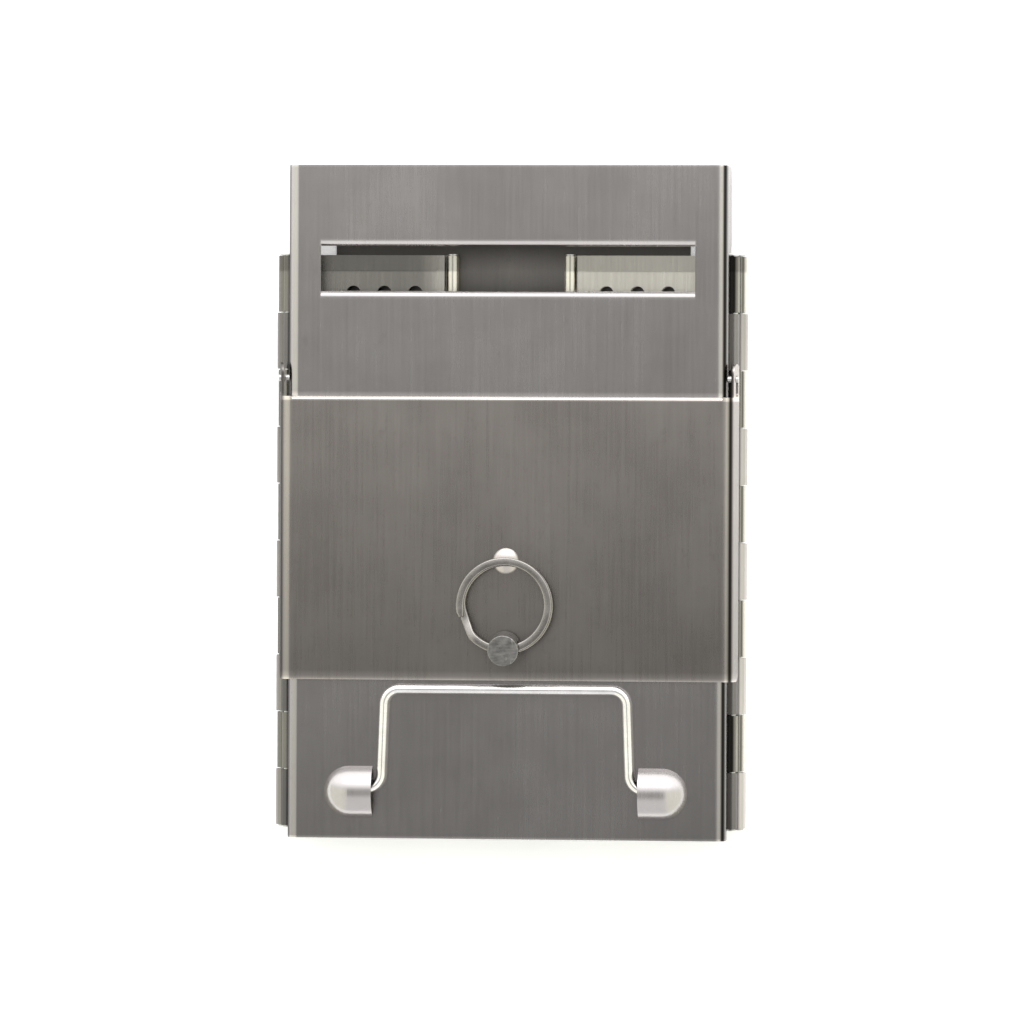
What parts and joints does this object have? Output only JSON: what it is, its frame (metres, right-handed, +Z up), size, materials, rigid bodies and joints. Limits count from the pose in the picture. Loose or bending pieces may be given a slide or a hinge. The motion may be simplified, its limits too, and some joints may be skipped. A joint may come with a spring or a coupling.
{
  "type": "folding steel box",
  "caption": "Flat-folding sheet-steel box, shown folded: slotted back panel with interleaved rod hinges, hinged half walls, a cover flap with a ringed stud, and a wire bail.",
  "frame": {"origin": "centre of the underside, on the surface that the folded box lies on", "axes": "+Z up out of the back panel's outer face, +Y along the box towards its slotted end, +X towards the right side seen from above"},
  "size_m": [0.1234, 0.175, 0.0239],
  "materials": {
    "panel_sheet": "fine straight brushing, light scratches",
    "flap_sheet": "fine straight brushing, heat stains",
    "wall_sheet": "fine straight brushing",
    "rod_steel": "drawn wire, worn bright",
    "wire_steel": "drawn wire, polished by handling",
    "stud_steel": "turned and scratched",
    "ring_steel": "spring steel, polished edges"
  },
  "bodies": {
    "panel": {"main_panel": "panel_sheet", "left_rear_rod": "rod_steel", "right_rear_rod": "rod_steel"},
    "left_rear": {"left_rear_wall": "wall_sheet", "left_mid_rod": "rod_steel"},
    "left_front": {"left_front_wall": "wall_sheet", "left_front_rod": "rod_steel"},
    "front": {"front_wall": "wall_sheet", "right_front_rod": "rod_steel"},
    "right_rear": {"right_rear_wall": "wall_sheet", "right_mid_rod": "rod_steel"},
    "right_front": {"right_front_wall": "wall_sheet"},
    "flap_pins": {"left_pivot_pin": "rod_steel", "right_pivot_pin": "rod_steel", "left_pivot_washer": "rod_steel", "right_pivot_washer": "rod_steel"},
    "flap": {"cover_flap": "flap_sheet", "pull_stud": "stud_steel", "stud_washer": "stud_steel"},
    "ring": {"split_ring": "ring_steel"},
    "bail": {"bail_handle": "wire_steel"}
  },
  "joints": [
    {"name": "fold", "type": "hinge", "parent": "panel", "child": "left_rear", "pos_m": [-0.05825, 0, 0.0062], "axis": [0, 1, 0], "range_deg": [0, 88]},
    {"name": "left_mid_hinge", "type": "hinge", "parent": "left_rear", "child": "left_front", "pos_m": [-0.0154, 0, 0.0044], "axis": [0, 1, 0], "range_deg": [-175, 0]},
    {"name": "left_front_hinge", "type": "hinge", "parent": "left_front", "child": "front", "pos_m": [-0.05975, 0, 0.0026], "axis": [0, 1, 0], "range_deg": [0, 87]},
    {"name": "right_rear_hinge", "type": "hinge", "parent": "panel", "child": "right_rear", "pos_m": [0.05825, 0, 0.0062], "axis": [0, 1, 0], "range_deg": [-88.5, 0]},
    {"name": "right_mid_hinge", "type": "hinge", "parent": "right_rear", "child": "right_front", "pos_m": [0.0154, 0, 0.0044], "axis": [0, 1, 0], "range_deg": [0, 175]},
    {"name": "flap_hinge", "type": "hinge", "parent": "panel", "child": "flap_pins", "pos_m": [0, 0.0321, 0.012], "axis": [-1, 0, 0], "range_deg": [0, 105]},
    {"name": "flap_slide", "type": "slide", "parent": "flap_pins", "child": "flap", "axis": [0, -1, 0], "range_m": [-0.0035, 0]},
    {"name": "ring_swing", "type": "hinge", "parent": "flap", "child": "ring", "pos_m": [0, -0.03783, 0.02014], "axis": [1, 0, 0], "range_deg": [0, 175]},
    {"name": "bail_swing", "type": "hinge", "parent": "panel", "child": "bail", "pos_m": [0, -0.0745, 0.0164], "axis": [1, 0, 0], "range_deg": [0, 175]}
  ],
  "couplings": [
    {"joint": "left_mid_hinge", "follows": "fold", "ratio": -1.98},
    {"joint": "left_front_hinge", "follows": "fold", "ratio": 0.98},
    {"joint": "right_rear_hinge", "follows": "fold", "ratio": -1},
    {"joint": "right_mid_hinge", "follows": "fold", "ratio": 1.98}
  ]
}
